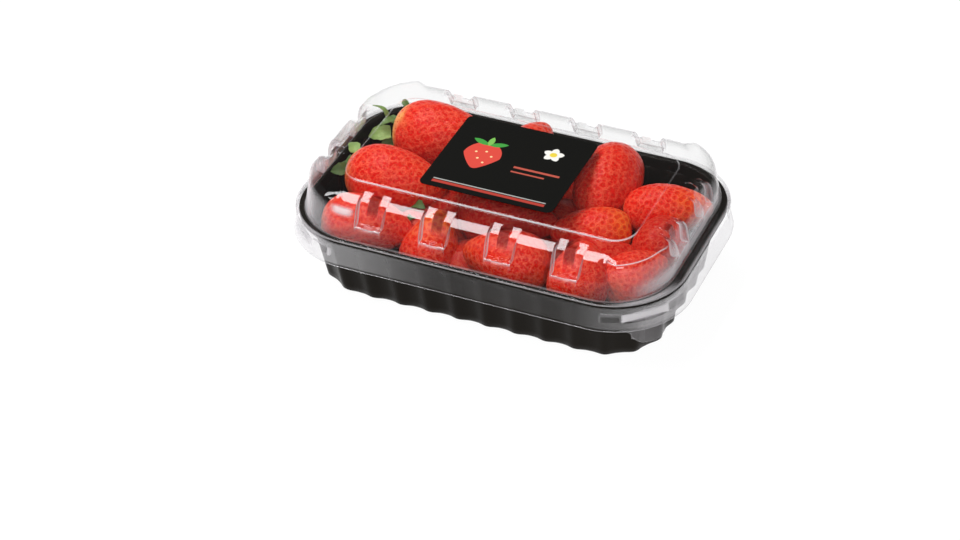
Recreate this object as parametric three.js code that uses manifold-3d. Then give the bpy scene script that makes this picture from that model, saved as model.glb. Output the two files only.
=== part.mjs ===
// A shut half-kilogram punnet of strawberries: a black fluted tray, a clear
// press-on lid with notched walls, a label on the lid and the heap of fruit.
// Millimetres, +Z up. The origin is the middle of the tray's underside,
// +X runs along the long side and -Y is the front.

import * as THREE from "three";
import { mergeVertices } from "three/addons/utils/BufferGeometryUtils.js";
import Module from "manifold-3d";

const wasm = await Module();
wasm.setup();

// ---- Driving dimensions ------------------------------------------------

// Rounded rectangles seen from above: half length, half width, corner radius.
const BASE = { x: 83, y: 48.3, r: 28 };
const MOUTH = { x: 88, y: 55, r: 31 };
const FLANGE = { x: 91.7, y: 57.8, r: 33 };
const SKIRT_FOOT = { x: 95, y: 60, r: 36 };
const SHELF = { x: 93.4, y: 59.2, r: 34.5 };
const DOME = { x: 88, y: 56, r: 29.5 };
const PANEL = { x: 70, y: 35.6, r: 11 };

const WALL = 0.6; // moulded sheet, tray and lid alike
const GAP = 0.3; // between pieces that touch

const FLUTES = 34;
const FLUTE_DEPTH = 1.5;
const FLUTE_STEPS = 6;
const FLUTE_CURVE = 2.2; // higher is flatter in the middle
const HEEL_Z = 2; // flutes are full from here
const FLUTE_TOP_Z = 27; // to here
const NECK_Z = 31.5; // and gone here
const LIP_DROP = 2.6;
const HEEL_ROUND = 2.2;

const SHELF_Z = 37.3;
const RIM_Z = SHELF_Z - WALL - GAP; // top of the tray's flange
const SKIRT_Z = 24.2;
const SKIRT_LIP = 0.5;
const LATCH_LOW = 29.8;
const LATCH_HIGH = 33;
const LATCH_DEPTH = 1.2;
const TOP_Z = 54.5;
const PANEL_Z = 55.4;

const NOTCHES_ON_SIDE = [46.8, 15.6]; // middles, from the middle of the side
const NOTCH_ON_END = 15.6;
const NOTCH_FLANK = 1.2;
const NOTCH_GROOVE = 0.8;

const LABEL = { width: 64, depth: 57, radius: 3, thick: 0.25, x: -1.7, y: 0.8 };
const TAB = { width: 15, reach: 6, root: 0.5, thick: 0.8, slope: 36, heading: -46 };

// ---- Places round an outline -------------------------------------------

// A place is a number from 0 to 12 that names the same feature on every
// outline. In each quarter 0 to 1 runs along half an end, 1 to 2 round the
// corner and 2 to 3 along half a side. Every other quarter is a mirror image.
const QUARTER = 3;
const ROUND = 4 * QUARTER;

function quarterOf(place) {
  const quarter = Math.floor(place / QUARTER) % 4;
  const within = place - QUARTER * Math.floor(place / QUARTER);
  return {
    local: quarter % 2 === 0 ? within : QUARTER - within,
    signX: quarter === 0 || quarter === 3 ? 1 : -1,
    signY: quarter < 2 ? 1 : -1,
  };
}

function pointOn(outline, place, inset, z) {
  const { local, signX, signY } = quarterOf(place);
  const angle = (THREE.MathUtils.clamp(local, 1, 2) - 1) * (Math.PI / 2);
  const reach = outline.r - inset;
  const x = (outline.x - outline.r) * Math.min(1, 3 - local) + reach * Math.cos(angle);
  const y = (outline.y - outline.r) * Math.min(1, local) + reach * Math.sin(angle);
  return [signX * x, signY * y, z];
}

// The place at a fraction of an outline's length.
function placeAlong(outline, fraction) {
  const end = outline.y - outline.r;
  const corner = outline.r * (Math.PI / 2);
  const side = outline.x - outline.r;
  const quarter = Math.floor(4 * fraction + 1e-9);
  const share = 4 * fraction - quarter;
  const mirrored = quarter % 2 === 1;
  const distance = (mirrored ? 1 - share : share) * (end + corner + side);
  let local = distance / end;
  if (distance > end) local = 1 + (distance - end) / corner;
  if (distance > end + corner) local = 2 + (distance - end - corner) / side;
  return QUARTER * quarter + (mirrored ? QUARTER - local : local);
}

// Repeats the first quarter's stations round the whole outline.
function allRound(quarterStations) {
  const stations = [];
  for (let quarter = 0; quarter < 4; quarter += 1) {
    const mirrored = quarterStations
      .map((station) => ({ ...station, place: QUARTER - station.place }))
      .reverse();
    const own = quarter % 2 === 0 ? quarterStations : mirrored;
    for (const station of own.slice(0, -1)) {
      stations.push({ ...station, place: station.place + QUARTER * quarter });
    }
  }
  return stations;
}

// Stations for a plain ring, with the corner in equal steps.
function plainStations(cornerSteps) {
  const quarter = [{ place: 0 }];
  for (let step = 0; step <= cornerSteps; step += 1) {
    quarter.push({ place: 1 + step / cornerSteps });
  }
  quarter.push({ place: QUARTER });
  return allRound(quarter);
}

// ---- Lofted shells -----------------------------------------------------

// A ring holds points in order of place, anticlockwise from above. A ring of
// one point is a pole.
function ring(stations, pointAt) {
  return stations.map((station) => ({ place: station.place, point: pointAt(station) }));
}

function pole(z) {
  return [{ place: 0, point: [0, 0, z] }];
}

// Fills the band between two rings that may have different numbers of points.
function stitch(from, to, positions) {
  const stepsFrom = from.length > 1 ? from.length : 0;
  const stepsTo = to.length > 1 ? to.length : 0;
  let a = 0;
  let b = 0;
  while (a < stepsFrom || b < stepsTo) {
    const here = from[a % from.length].point;
    const there = to[b % to.length].point;
    const nextA = a < stepsFrom ? from[a + 1]?.place ?? ROUND : Infinity;
    const nextB = b < stepsTo ? to[b + 1]?.place ?? ROUND : Infinity;
    if (nextA <= nextB) {
      a += 1;
      positions.push(...here, ...from[a % from.length].point, ...there);
    } else {
      b += 1;
      positions.push(...here, ...to[b % to.length].point, ...there);
    }
  }
}

// Joins rings in order, following the section round the outside and then
// back along the inside.
function loft(rings) {
  const positions = [];
  for (let index = 1; index < rings.length; index += 1) {
    stitch(rings[index - 1], rings[index], positions);
  }
  const geometry = new THREE.BufferGeometry();
  geometry.setAttribute("position", new THREE.Float32BufferAttribute(positions, 3));
  return mergeVertices(geometry, 1e-4);
}

// ---- Solids ------------------------------------------------------------

function solidOf(geometry) {
  const bare = geometry.clone();
  bare.deleteAttribute("normal");
  bare.deleteAttribute("uv");
  const merged = mergeVertices(bare, 1e-4);
  const vertProperties = Float32Array.from(merged.attributes.position.array);
  const triVerts = Uint32Array.from(merged.index.array);
  return new wasm.Manifold(new wasm.Mesh({ numProp: 3, vertProperties, triVerts }));
}

function geometryOf(manifold) {
  const mesh = manifold.getMesh();
  const geometry = new THREE.BufferGeometry();
  geometry.setAttribute("position", new THREE.BufferAttribute(mesh.vertProperties, 3));
  geometry.setIndex(new THREE.BufferAttribute(mesh.triVerts, 1));
  return geometry;
}

// The largest closed surface alone, so that hollows sealed inside are filled.
function filled(manifold) {
  return manifold
    .decompose()
    .reduce((best, next) => (next.volume() > best.volume() ? next : best));
}

// ---- Tray --------------------------------------------------------------

// The wall flares evenly from the base to the mouth.
function wallAt(z) {
  const share = z / RIM_Z;
  const mix = (low, high) => low + (high - low) * share;
  return { x: mix(BASE.x, MOUTH.x), y: mix(BASE.y, MOUTH.y), r: mix(BASE.r, MOUTH.r) };
}

// Hollow flutes between sharp ridges: depth 0 on a ridge, full in the middle.
function fluteStations() {
  const stations = [];
  for (let step = 0; step < FLUTES * FLUTE_STEPS; step += 1) {
    const across = (step % FLUTE_STEPS) / FLUTE_STEPS;
    const depth = FLUTE_DEPTH * (1 - Math.abs(2 * across - 1) ** FLUTE_CURVE);
    stations.push({ place: placeAlong(BASE, step / (FLUTES * FLUTE_STEPS)), depth });
  }
  return stations;
}

function trayGeometry() {
  const flutes = fluteStations();
  const ridgesAndHollows = flutes.filter((station, index) => index % (FLUTE_STEPS / 2) === 0);
  const plain = plainStations(8);
  const fluted = (z, inset) =>
    ring(flutes, ({ place, depth }) => pointOn(wallAt(z), place, depth + inset, z));
  const faded = (z, inset) =>
    ring(ridgesAndHollows, ({ place }) => pointOn(wallAt(z), place, inset, z));
  const smooth = (outline, inset, z) =>
    ring(plain, ({ place }) => pointOn(outline, place, inset, z));
  const lipZ = RIM_Z - LIP_DROP;
  return loft([
    pole(0),
    faded(0, HEEL_ROUND),
    fluted(HEEL_Z, 0),
    fluted(FLUTE_TOP_Z, 0),
    faded(NECK_Z, 0),
    smooth(MOUTH, 0, RIM_Z - WALL),
    smooth(FLANGE, WALL, RIM_Z - WALL),
    smooth(FLANGE, WALL, lipZ),
    smooth(FLANGE, 0, lipZ),
    smooth(FLANGE, 0, RIM_Z - WALL),
    smooth(FLANGE, WALL, RIM_Z),
    smooth(MOUTH, WALL, RIM_Z),
    faded(NECK_Z, WALL),
    fluted(FLUTE_TOP_Z, WALL),
    fluted(HEEL_Z + WALL, WALL),
    faded(WALL, HEEL_ROUND + WALL),
    pole(WALL),
  ]);
}

// ---- Lid ---------------------------------------------------------------

// The dome's wall in rows from the shelf up: inset from the dome's outline,
// height, and the lean of the surface from upright (0) to level (1).
const FOOT_ROW = [0, SHELF_Z, 0.5];
const DOME_ROWS = {
  corner: [FOOT_ROW, [1.2, 44, 0.05], [2, 49, 0.1], [3, 52.4, 0.3], [4.4, 53.9, 0.6], [6.5, TOP_Z, 1]],
  side: [FOOT_ROW, [1.5, 43.6, 0.1], [2.5, 46.5, 0.3], [5.2, 51, 0.45], [8.2, 53.6, 0.7], [11.5, TOP_Z, 1]],
  end: [FOOT_ROW, [0, 43.6, 0], [0.1, 47.5, 0.1], [1.2, 51.4, 0.3], [3, 53.7, 0.6], [5.6, TOP_Z, 1]],
};
const NOTCH_ROWS = {
  side: [FOOT_ROW, [2, 43.4, 0.6], [5.6, 44.4, 0.6], [6.8, 49.5, 0.2], [9.6, 53, 0.5], [12.8, TOP_Z, 1]],
  end: [FOOT_ROW, [0.4, 43.4, 0.6], [4, 44.4, 0.6], [4.6, 49.5, 0.1], [5.8, 52.8, 0.4], [8.2, TOP_Z, 1]],
};
const NOTCH_HALF_WIDTHS = [6.2, 6.2, 6.4, 6.8, 7, 7.2]; // one for each row

// The five stations across a notch, from its far flank to its near one.
function notchStations(middle, half, placeOf) {
  const flat = half - NOTCH_FLANK;
  return [
    { place: placeOf(middle + half), notch: 0 },
    { place: placeOf(middle + flat), notch: 1 },
    { place: placeOf(middle), notch: 1, groove: NOTCH_GROOVE },
    { place: placeOf(middle - flat), notch: 1 },
    { place: placeOf(middle - half), notch: 0 },
  ];
}

function domeStations(half) {
  const onEnd = (y) => y / (DOME.y - DOME.r);
  const onSide = (x) => QUARTER - x / (DOME.x - DOME.r);
  const quarter = [
    { place: 0, kind: "end", notch: 0 },
    ...notchStations(NOTCH_ON_END, half, onEnd).reverse().map((s) => ({ ...s, kind: "end" })),
  ];
  const cornerSteps = 6;
  for (let step = 0; step <= cornerSteps; step += 1) {
    const kinds = { 0: "end", [cornerSteps]: "side" };
    quarter.push({ place: 1 + step / cornerSteps, kind: kinds[step] ?? "corner", notch: 0 });
  }
  const [far, near] = NOTCHES_ON_SIDE;
  const between = { place: onSide((far + near) / 2), notch: 0 };
  const along = [
    ...notchStations(far, half, onSide),
    between,
    ...notchStations(near, half, onSide),
    { place: QUARTER, notch: 0 },
  ];
  quarter.push(...along.map((s) => ({ ...s, kind: "side" })));
  return allRound(quarter);
}

// One row of the dome's wall; sheet is 0 outside and the thickness inside.
function domeRing(row, sheet) {
  const stations = domeStations(NOTCH_HALF_WIDTHS[row] + sheet);
  return ring(stations, ({ place, kind, notch, groove = 0 }) => {
    const [inset, z, lean] = (notch ? NOTCH_ROWS : DOME_ROWS)[kind][row];
    const turn = lean * (Math.PI / 2);
    const sunk = row > 2 ? groove : 0;
    return pointOn(DOME, place, inset + sunk + sheet * Math.cos(turn), z - sheet * Math.sin(turn));
  });
}

// Corner stations of the skirt: angle round the corner and the depth of the
// latch there. A flat chord lies between two short recesses.
function skirtStations() {
  const chordFrom = 26.6;
  const recessFrom = 9.6;
  const step = 2;
  const chordDepth = (angle) => {
    const edge = Math.cos(THREE.MathUtils.degToRad(45 - chordFrom));
    return SKIRT_FOOT.r * (1 - edge / Math.cos(THREE.MathUtils.degToRad(45 - angle)));
  };
  const half = [
    { angle: 0, latch: 0 },
    { angle: recessFrom, latch: 0 },
    { angle: recessFrom + step, latch: LATCH_DEPTH },
    { angle: chordFrom - step, latch: LATCH_DEPTH },
    { angle: chordFrom, latch: 0 },
    { angle: 36, latch: chordDepth(36) },
  ];
  const corner = [
    ...half,
    { angle: 45, latch: chordDepth(45) },
    ...half.map(({ angle, latch }) => ({ angle: 90 - angle, latch })).reverse(),
  ];
  return allRound([
    { place: 0, latch: 0 },
    ...corner.map(({ angle, latch }) => ({ place: 1 + angle / 90, latch })),
    { place: QUARTER, latch: 0 },
  ]);
}

// The skirt from its foot to the shelf's edge.
function skirtRings(sheet) {
  const stations = skirtStations();
  const skirtRow = (z, inset, latched) => {
    const share = (z - SKIRT_Z) / (SHELF_Z - SKIRT_Z);
    const outline = {
      x: THREE.MathUtils.lerp(SKIRT_FOOT.x, SHELF.x, share),
      y: THREE.MathUtils.lerp(SKIRT_FOOT.y, SHELF.y, share),
      r: THREE.MathUtils.lerp(SKIRT_FOOT.r, SHELF.r, share),
    };
    return ring(stations, ({ place, latch }) =>
      pointOn(outline, place, inset + sheet + (latched ? latch : 0), z));
  };
  const edge = 0.6; // height of a latch's sloping edges
  return [
    skirtRow(SKIRT_Z, 0, false),
    skirtRow(SKIRT_Z + 2 * SKIRT_LIP, SKIRT_LIP, false),
    skirtRow(LATCH_LOW - edge, SKIRT_LIP, false),
    skirtRow(LATCH_LOW, SKIRT_LIP, true),
    skirtRow(LATCH_HIGH, SKIRT_LIP, true),
    skirtRow(LATCH_HIGH + edge, SKIRT_LIP, false),
    skirtRow(SHELF_Z - sheet, 0, false),
  ];
}

// Rings over the whole lid, from the skirt's foot up to the panel's middle.
function lidRings(sheet) {
  const panel = plainStations(4);
  const panelRing = (inset, z) =>
    ring(panel, ({ place }) => pointOn(PANEL, place, inset, z - sheet));
  return [
    ...skirtRings(sheet),
    ...NOTCH_HALF_WIDTHS.map((half, row) => domeRing(row, sheet)),
    panelRing(sheet - WALL, TOP_Z),
    panelRing(sheet, PANEL_Z),
    pole(PANEL_Z - sheet),
  ];
}

// A rounded tongue to lift the lid by, out and down from the skirt's corner.
function tabGeometry() {
  const half = TAB.width / 2;
  const bend = half * 0.8;
  const shape = new THREE.Shape();
  shape.moveTo(-TAB.root, -half);
  shape.lineTo(TAB.reach - bend, -half);
  shape.quadraticCurveTo(TAB.reach, -half, TAB.reach, 0);
  shape.quadraticCurveTo(TAB.reach, half, TAB.reach - bend, half);
  shape.lineTo(-TAB.root, half);
  const tongue = new THREE.ExtrudeGeometry(shape, {
    depth: TAB.thick,
    bevelEnabled: false,
    curveSegments: 5,
  });
  tongue.rotateY(THREE.MathUtils.degToRad(TAB.slope));
  tongue.translate(SKIRT_FOOT.r - WALL / 2, 0, SKIRT_Z);
  tongue.rotateZ(THREE.MathUtils.degToRad(TAB.heading));
  tongue.translate(SKIRT_FOOT.x - SKIRT_FOOT.r, SKIRT_FOOT.r - SKIRT_FOOT.y, 0);
  return tongue;
}

function lidGeometry() {
  const outside = lidRings(0);
  const inside = lidRings(WALL).reverse();
  const shell = solidOf(loft([...outside, ...inside, outside[0]]));
  return geometryOf(shell.add(solidOf(tabGeometry())));
}

// ---- Label -------------------------------------------------------------

function labelGeometry() {
  const half = { x: LABEL.width / 2, y: LABEL.depth / 2, r: LABEL.radius };
  const stations = plainStations(4);
  const points = stations.map(({ place }) => {
    const [x, y] = pointOn(half, place, 0, 0);
    return new THREE.Vector2(x, y);
  });
  return new THREE.ExtrudeGeometry(new THREE.Shape(points), {
    depth: LABEL.thick,
    bevelEnabled: false,
  });
}

// ---- Strawberries ------------------------------------------------------

// Each strawberry: middle, heading and lift of its tip in degrees, length,
// radius, and how much fuller its stalk end is than its tip.
const STRAWBERRIES = [
  { at: [-49.5, 29.8, 36.5], heading: -10, lift: 0, length: 49, radius: 15.5, taper: 0.4, sepals: 7 },
  { at: [-57, -5, 36], heading: -4, lift: 0, length: 47, radius: 15.3, taper: 0.4, sepals: 6 },
  { at: [-54, -35, 31], heading: 12, lift: 0, length: 43, radius: 14.2, taper: 0.3 },
  { at: [-25, -34, 28], heading: 80, lift: 58, length: 33, radius: 13.5, taper: 0.4 },
  { at: [12, -35.5, 31], heading: 178, lift: 0, length: 42, radius: 14.3, taper: 0.3 },
  { at: [46, -33, 30], heading: 100, lift: 25, length: 34, radius: 14, taper: 0.3 },
  { at: [69, -22, 28], heading: 60, lift: 5, length: 34, radius: 13, taper: 0.3 },
  { at: [70, 3, 32], heading: 100, lift: 5, length: 32, radius: 13, taper: 0.3 },
  { at: [66, 22, 34], heading: 12, lift: 4, length: 42, radius: 12.5, taper: 0.4 },
  { at: [41, -7, 37], heading: 14, lift: 4, length: 40, radius: 11.5, taper: 0.35 },
  { at: [36, 26, 36], heading: 84, lift: 4, length: 50, radius: 15, taper: 0.28 },
  { at: [-9, 30, 36], heading: 78, lift: 8, length: 42, radius: 14.5, taper: 0.4 },
  { at: [2, -9, 33], heading: 8, lift: 0, length: 48, radius: 15, taper: 0.4 },
  { at: [50, -14, 24], heading: 20, lift: 0, length: 40, radius: 14, taper: 0.3 },
];
const SHAPE_STEPS = 9;
const SHAPE_SIDES = 16;

// The heap's core fills the tray well inside its wall.
const CORE = { low: 1, high: 20, crown: 22, inset: 4 };

function coreGeometry() {
  const stations = plainStations(3);
  const level = (z, inset) =>
    ring(stations, ({ place }) => pointOn(wallAt(z), place, CORE.inset + inset, z));
  return loft([
    pole(CORE.low),
    level(CORE.low, 2),
    level(CORE.high, 0),
    level(CORE.crown, 8),
    pole(CORE.crown),
  ]);
}

// Half a strawberry's outline turned about its axis: the stalk end is blunt
// and the tip, along +Y, is drawn out.
function strawberryGeometry({ length, radius, taper }) {
  const outline = [];
  for (let step = 0; step <= SHAPE_STEPS; step += 1) {
    const angle = (Math.PI * step) / SHAPE_STEPS;
    const swell = (1 + taper * Math.cos(angle)) / (1 + 0.16 * taper);
    const pinch = step === 0 || step === SHAPE_STEPS ? 0 : radius * Math.sin(angle) * swell;
    outline.push(new THREE.Vector2(pinch, (-Math.cos(angle) * length) / 2));
  }
  return new THREE.LatheGeometry(outline, SHAPE_SIDES);
}

// A thin wavy leaf along +X. Its under face repeats the upper one.
const SEPAL = { length: 10, width: 5, thick: 0.7, rows: 5 };

function sepalGeometry(turn) {
  const upper = [];
  for (let row = 0; row <= SEPAL.rows; row += 1) {
    const share = row / SEPAL.rows;
    const half = (SEPAL.width / 2) * Math.sin(Math.PI * (0.25 + 0.7 * share));
    const lift = 2.5 * Math.sin(3 * share + turn) * share;
    for (const side of [-1, 0, 1]) {
      upper.push([SEPAL.length * share, side * half, lift - 0.5 * Math.abs(side)]);
    }
  }
  const under = upper.map(([x, y, z]) => [x, y, z - SEPAL.thick]);
  const positions = [];
  const quad = (a, b, c, d) => positions.push(...a, ...b, ...c, ...a, ...c, ...d);
  for (let row = 0; row < SEPAL.rows; row += 1) {
    for (const column of [0, 1]) {
      const near = 3 * row + column;
      const far = near + 3;
      quad(upper[near], upper[far], upper[far + 1], upper[near + 1]);
      quad(under[near], under[near + 1], under[far + 1], under[far]);
    }
    const right = 3 * row;
    quad(under[right], under[right + 3], upper[right + 3], upper[right]);
    const left = 3 * row + 2;
    quad(upper[left], upper[left + 3], under[left + 3], under[left]);
  }
  for (const column of [0, 1]) {
    quad(under[column], upper[column], upper[column + 1], under[column + 1]);
    const last = 3 * SEPAL.rows + column;
    quad(upper[last], under[last], under[last + 1], upper[last + 1]);
  }
  const geometry = new THREE.BufferGeometry();
  geometry.setAttribute("position", new THREE.Float32BufferAttribute(positions, 3));
  return geometry;
}

// Leaves spread round the stalk end, folded back over the shoulder.
function calyxGeometries({ length, radius, sepals = 0 }) {
  const leaves = [];
  for (let index = 0; index < sepals; index += 1) {
    const leaf = sepalGeometry(index * 1.3);
    leaf.rotateY(THREE.MathUtils.degToRad(-8));
    leaf.translate(radius * 0.25, 0, 0);
    leaf.rotateX(Math.PI / 2);
    leaf.rotateY((-index * 2 * Math.PI) / sepals);
    leaf.translate(0, -length / 2 + 1, 0);
    leaves.push(leaf);
  }
  return leaves;
}

// Turns a strawberry's +Y to its tip's heading and lift, and puts it in place.
function lay(geometry, { at, heading, lift }) {
  const turn = THREE.MathUtils.degToRad(heading);
  const rise = THREE.MathUtils.degToRad(lift);
  const level = Math.cos(rise);
  const tip = new THREE.Vector3(level * Math.cos(turn), level * Math.sin(turn), Math.sin(rise));
  const upright = new THREE.Vector3(0, 1, 0);
  geometry.applyQuaternion(new THREE.Quaternion().setFromUnitVectors(upright, tip));
  geometry.translate(...at);
  return geometry;
}

function strawberriesGeometry() {
  let heap = solidOf(coreGeometry());
  for (const strawberry of STRAWBERRIES) {
    const shapes = [strawberryGeometry(strawberry), ...calyxGeometries(strawberry)];
    for (const shape of shapes) {
      heap = heap.add(solidOf(lay(shape, strawberry)));
    }
  }
  return geometryOf(filled(heap));
}

// ---- The punnet --------------------------------------------------------

function piece(name, geometry, look) {
  const mesh = new THREE.Mesh(geometry, new THREE.MeshStandardMaterial(look));
  mesh.name = name;
  return mesh;
}

const punnet = new THREE.Group();
const tray = piece("tray", trayGeometry(), { color: 0x23201e, roughness: 0.3, metalness: 0 });
const lid = piece("lid", lidGeometry(), {
  color: 0xd8dcd8,
  roughness: 0.06,
  metalness: 0,
  transparent: true,
  opacity: 0.25,
});
const label = piece("label", labelGeometry(), { color: 0x1e1e1c, roughness: 0.45, metalness: 0 });
label.position.set(LABEL.x, LABEL.y, PANEL_Z + GAP);
const strawberries = piece("strawberries", strawberriesGeometry(), {
  color: 0xd6281e,
  roughness: 0.35,
  metalness: 0,
});
punnet.add(tray, lid, label, strawberries);

export default punnet;
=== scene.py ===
# %% [markdown]
# # A shut punnet of strawberries
# A black tray with fluted walls holds a heap of ripe fruit under a clear
# press-on lid, and a dark label lies on the lid. Its solids give the sizes,
# and each finer piece made below takes the place of one of them. Lengths are
# written in millimetres and become metres where a point is set, because that
# is Blender's unit here.

# %% Load the fixed frame
import math

import bpy
from mathutils import Matrix, Vector, kdtree, noise


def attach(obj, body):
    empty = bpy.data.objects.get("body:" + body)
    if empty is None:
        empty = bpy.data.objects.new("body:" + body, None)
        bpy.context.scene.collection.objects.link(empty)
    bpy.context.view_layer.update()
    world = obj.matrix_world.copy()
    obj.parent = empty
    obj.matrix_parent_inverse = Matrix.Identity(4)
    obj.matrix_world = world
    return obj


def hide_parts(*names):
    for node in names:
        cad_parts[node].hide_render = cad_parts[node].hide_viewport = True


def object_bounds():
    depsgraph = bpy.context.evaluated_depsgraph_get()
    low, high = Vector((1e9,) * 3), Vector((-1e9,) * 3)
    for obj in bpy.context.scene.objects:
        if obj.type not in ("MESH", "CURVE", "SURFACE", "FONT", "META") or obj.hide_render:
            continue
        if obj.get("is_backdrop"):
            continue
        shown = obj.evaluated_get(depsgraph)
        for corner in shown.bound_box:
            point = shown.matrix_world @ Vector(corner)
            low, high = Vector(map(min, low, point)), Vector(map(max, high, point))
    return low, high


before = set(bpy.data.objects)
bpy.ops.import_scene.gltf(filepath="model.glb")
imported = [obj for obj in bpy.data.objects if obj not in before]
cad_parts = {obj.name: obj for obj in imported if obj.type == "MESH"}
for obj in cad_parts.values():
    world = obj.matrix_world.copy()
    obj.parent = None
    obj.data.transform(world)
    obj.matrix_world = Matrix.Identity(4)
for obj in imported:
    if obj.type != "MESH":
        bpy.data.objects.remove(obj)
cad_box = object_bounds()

MM = 0.001
print("nodes:", sorted(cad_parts))

# %% [markdown]
# ## The camera and the light
# A product picture of a clear pack lives from what the plastic mirrors. One
# large soft lamp hangs over the pack and is the white bar seen on the lid's
# shoulder, and a weaker one in front lights the near wall. The floor glows
# nearly white, so the upright walls mirror it as a faint haze. The lens is
# long, as in most pack shots, which keeps the tray's edges nearly parallel.

# %% Set up the camera
scene = bpy.context.scene
camera_data = bpy.data.cameras.new("camera")
camera_data.lens = 101.69
camera_data.sensor_width = 36.0
camera = bpy.data.objects.new("camera", camera_data)
scene.collection.objects.link(camera)
camera_right = Vector((0.91497, 0.40272, -0.02543))
camera_up = Vector((-0.22616, 0.56397, 0.79422))
camera_back = Vector((0.33419, -0.72093, 0.60710))
camera_axes = Matrix((camera_right, camera_up, camera_back)).transposed().to_4x4()
camera.matrix_world = Matrix.Translation((0.40256, -0.90611, 0.75480)) @ camera_axes
scene.camera = camera
scene.view_settings.view_transform = "Standard"
scene.cycles.transparent_max_bounces = 32
print("camera at", [round(number, 3) for number in camera.location])

# %% Hang the lamps
def soft_lamp(name, place, aim, width, height, power):
    """A rectangular lamp that looks at a point; its height runs up or to the back."""
    lamp_data = bpy.data.lights.new(name, "AREA")
    lamp_data.shape = "RECTANGLE"
    lamp_data.size = width
    lamp_data.size_y = height
    lamp_data.energy = power
    lamp = bpy.data.objects.new(name, lamp_data)
    lamp.location = place
    lamp.rotation_euler = (Vector(aim) - Vector(place)).to_track_quat("-Z", "Y").to_euler()
    scene.collection.objects.link(lamp)

soft_lamp("lamp_over", (-0.37, 0.03, 0.97), (-0.37, 0.0301, 0), 0.48, 1.05, 11.5)
soft_lamp("lamp_front", (0.7, -1.5, 1.5), (0, 0, 0.03), 1.2, 1.0, 15)

# %% [markdown]
# ## Mixing materials
# A material is a graph of nodes, and written out by hand it is long. The
# class Signal wraps one output of a node, so that ordinary sums on it add
# Math nodes. Recipe holds a material and makes every other node by one method.
# finish adds the output node and says how many nodes the finish took.

# %% Signals and recipes
class Signal:
    """One output of a node. Sums on it add Math nodes."""

    def __init__(self, recipe, socket):
        self.recipe = recipe
        self.socket = socket

    def math(self, operation, *values):
        inputs = dict(enumerate(values))
        return self.recipe.node("ShaderNodeMath", {"operation": operation}, inputs)

    def __add__(self, other):
        return self.math("ADD", self, other)

    def __sub__(self, other):
        return self.math("SUBTRACT", self, other)

    def __rsub__(self, other):
        return self.math("SUBTRACT", other, self)

    def __mul__(self, other):
        return self.math("MULTIPLY", self, other)

    def __truediv__(self, other):
        return self.math("DIVIDE", self, other)

    def __pow__(self, other):
        return self.math("POWER", self, other)

    def __abs__(self):
        return self.math("ABSOLUTE", self)

    __radd__ = __add__
    __rmul__ = __mul__

    def least(self, other):
        return self.math("MINIMUM", self, other)

    def most(self, other):
        return self.math("MAXIMUM", self, other)

    def held(self):
        """The same, kept between 0 and 1."""
        return self.most(0.0).least(1.0)


class Recipe:
    """A material in the making, or the world's light."""

    def __init__(self, name, world=None):
        self.material = world or bpy.data.materials.new(name)
        self.material.use_nodes = True
        self.tree = self.material.node_tree
        self.tree.nodes.clear()

    def node(self, kind, settings=None, inputs=None, output=0):
        """Adds a node: its settings first, then the values or links of its sockets."""
        made = self.tree.nodes.new(kind)
        for name, value in (settings or {}).items():
            setattr(made, name, value)
        for key, value in (inputs or {}).items():
            if isinstance(value, Signal):
                self.tree.links.new(value.socket, made.inputs[key])
            else:
                made.inputs[key].default_value = value
        return Signal(self, made.outputs[output]) if made.outputs else None

    def attribute(self, name):
        return self.node("ShaderNodeAttribute", {"attribute_name": name}, output="Fac")

    def mix(self, factor, first, second):
        """A blend of two colours."""
        colours = [(*c, 1) if isinstance(c, tuple) else c for c in (first, second)]
        inputs = {0: factor, 6: colours[0], 7: colours[1]}
        return self.node("ShaderNodeMix", {"data_type": "RGBA"}, inputs, output=2)

    def noise(self, scale, detail=2.0, roughness=0.5):
        """Cloudy noise fixed to the piece; scale is in patches a metre."""
        place = self.node("ShaderNodeTexCoord", output="Object")
        inputs = {"Vector": place, "Scale": scale, "Detail": detail, "Roughness": roughness}
        return self.node("ShaderNodeTexNoise", None, inputs)

    def bump(self, height, depth):
        """Small relief; depth is in metres for a height of 1."""
        return self.node("ShaderNodeBump", None, {"Height": height, "Distance": depth})

    def surface(self, inputs):
        """The shader that suits most finishes."""
        return self.node("ShaderNodeBsdfPrincipled", None, inputs)

    def finish(self, shader, kind="ShaderNodeOutputMaterial"):
        self.node(kind, None, {"Surface": shader})
        print(self.material.name, "takes", len(self.tree.nodes), "nodes")
        return self.material

# %% [markdown]
# ## The room and the floor
# Behind a pack shot hangs a white sweep that fades into a dark room, and clear
# walls mirror that fade without a hard line. The world's light does the same:
# bright at the horizon, dim a third of the way up. The floor is a plain white
# sheet, larger than the view, that gives off light of its own besides what
# the lamps throw on it. That keeps it white to its edges and leaves only the
# faintest shade under the tray.

# %% Light the room
room = Recipe("room", bpy.data.worlds.new("studio"))
way = room.node("ShaderNodeTexCoord", output="Generated")
height = room.node("ShaderNodeSeparateXYZ", None, {0: way}, output="Z")
fade = (1 - abs(height) / 0.5).held() ** 1.6
scene.world = room.finish(room.node("ShaderNodeBackground", None, {
    "Color": room.mix(fade, (0.09, 0.09, 0.09), (0.95, 0.95, 0.95)),
    "Strength": 1.0,
}), "ShaderNodeOutputWorld")

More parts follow.
